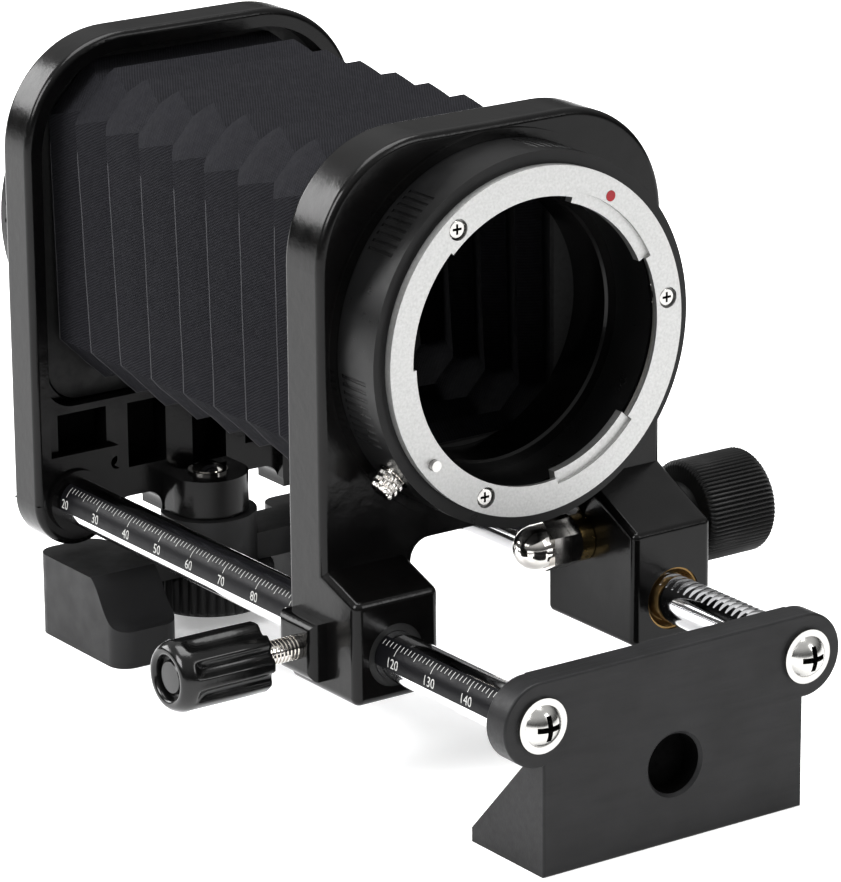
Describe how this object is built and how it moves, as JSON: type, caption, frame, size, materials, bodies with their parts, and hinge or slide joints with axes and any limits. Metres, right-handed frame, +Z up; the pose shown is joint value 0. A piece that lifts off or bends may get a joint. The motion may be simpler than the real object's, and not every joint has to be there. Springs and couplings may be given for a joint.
{
  "type": "macro bellows unit",
  "caption": "Macro bellows unit for an SLR: front lens standard driven by rack and pinion along rods, pleated cloth bellows, ruled scale, lock knob and swivelling rear foot.",
  "frame": {"origin": "centre of the bounding box in X and Y, on the plane under the front bracket and the rear foot", "axes": "+X to the drive knob's side, +Y toward the camera side along the rods, +Z up; the lens side faces -Y"},
  "size_m": [0.1138, 0.1609, 0.108],
  "materials": {
    "black_enamel": "gloss",
    "black_anodised": "satin",
    "chrome": "polished",
    "nickel": "polished",
    "satin_chrome": "satin",
    "brass": "machined",
    "black_cloth": "matte",
    "black_plastic": "gloss",
    "matte_black": "matte",
    "red": "gloss"
  },
  "bodies": {
    "base": {"rear_frame": "black_enamel", "rear_mount_ring": "black_anodised", "rear_bayonet": "satin_chrome", "rear_mount_screws": "nickel", "scale_rod": "chrome", "scale_strip": "matte_black", "rack_rod": "chrome", "front_bracket": "black_anodised", "bracket_screws": "chrome", "rear_bellows_frame": "matte_black", "bellows": "black_cloth", "pivot_bolt": "nickel"},
    "foot": {"rear_foot": "black_anodised", "hub_disc": "black_anodised"},
    "wheel": {"clamp_wheel": "black_anodised"},
    "carriage": {"front_frame": "black_enamel", "front_bellows_frame": "matte_black", "guide_bushes": "matte_black", "rack_bushes": "brass", "pinion_bush": "brass", "lock_pad": "brass", "mount_ring": "black_anodised", "spring_plate": "nickel", "lens_flange": "satin_chrome", "flange_screws": "nickel", "index_dot": "red", "release_spring": "nickel"},
    "drive": {"pinion_shaft": "nickel", "drive_knob": "matte_black", "knob_grub_screw": "nickel", "brass_collar": "brass", "hex_nut": "nickel", "acorn_nut": "nickel"},
    "lock": {"lock_knob": "black_plastic", "lock_screw": "nickel"},
    "release": {"release_button": "nickel"},
    "pin": {"lock_pin": "satin_chrome"}
  },
  "joints": [
    {"name": "focus_slide", "type": "slide", "parent": "base", "child": "carriage", "axis": [0, -1, 0], "range_m": [-0.046, 0.0285], "deforming": ["bellows"]},
    {"name": "drive_turn", "type": "hinge", "parent": "carriage", "child": "drive", "pos_m": [0.03065, -0.0295, 0.0341], "axis": [1, 0, 0], "range_deg": [-527.7, 327.2]},
    {"name": "lock_turn", "type": "hinge", "parent": "carriage", "child": "lock", "pos_m": [-0.04555, -0.0259, 0.0254], "axis": [1, 0, 0], "range_deg": [-360, 60]},
    {"name": "foot_swivel", "type": "hinge", "parent": "base", "child": "foot", "pos_m": [0.00445, 0.0572, 0.012], "axis": [0, 0, 1], "range_deg": [-90, 90]},
    {"name": "wheel_turn", "type": "hinge", "parent": "foot", "child": "wheel", "pos_m": [0.00445, 0.0572, 0.006], "axis": [0, 0, 1], "range_deg": [-360, 360]},
    {"name": "release_press", "type": "slide", "parent": "carriage", "child": "release", "axis": [0.7771, 0, 0.6293], "range_m": [0, 0.0012], "stiffness_N_per_m": 900, "springref_m": -0.0012, "deforming": ["release_spring"]},
    {"name": "pin_retract", "type": "slide", "parent": "carriage", "child": "pin", "axis": [0, 1, 0], "range_m": [0, 0.0012]}
  ],
  "couplings": [
    {"joint": "drive_turn", "follows": "focus_slide", "rad_per_m": 200},
    {"joint": "pin_retract", "follows": "release_press", "ratio": 1}
  ]
}
